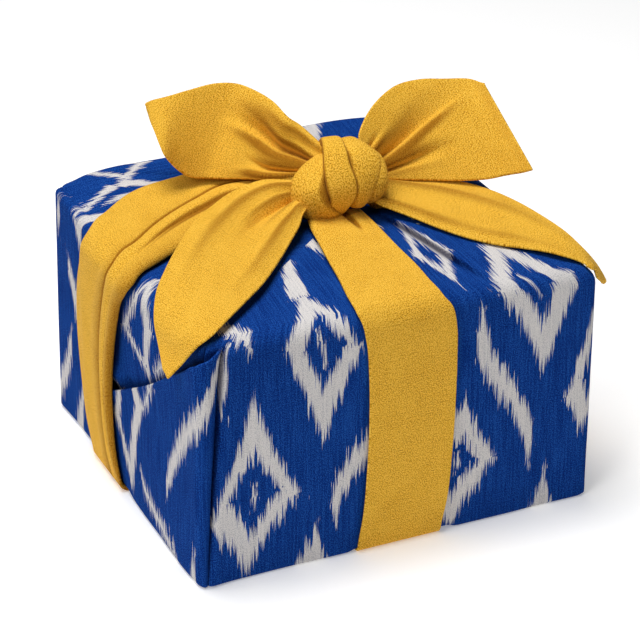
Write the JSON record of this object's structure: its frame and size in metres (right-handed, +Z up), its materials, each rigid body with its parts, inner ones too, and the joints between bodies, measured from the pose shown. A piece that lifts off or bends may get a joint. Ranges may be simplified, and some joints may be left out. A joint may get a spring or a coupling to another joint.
{
  "type": "furoshiki wrap",
  "caption": "Box-shaped bundle wrapped in patterned cotton with envelope folds, tied both ways by a plain sash with a knot and pointed tails on top.",
  "frame": {"origin": "on the resting plane, under the middle of the bundle, on the underside of the front-to-back sash strip", "axes": "+X along the front face to the right, +Y to the back, +Z up"},
  "size_m": [0.2247, 0.2039, 0.1747],
  "materials": {
    "patterned_cotton": "matte plain-weave cotton, deep blue with off-white feathered diamonds",
    "sash_cotton": "matte plain-weave cotton with slight slubs, mustard yellow"
  },
  "bodies": {
    "root": {"wrap_cloth": "patterned_cotton", "sash_front_back": "sash_cotton", "sash_left_right": "sash_cotton", "knot": "sash_cotton", "tail_upper_left": "sash_cotton", "tail_upper_right": "sash_cotton", "tail_lower_left": "sash_cotton", "tail_right": "sash_cotton"}
  },
  "joints": []
}
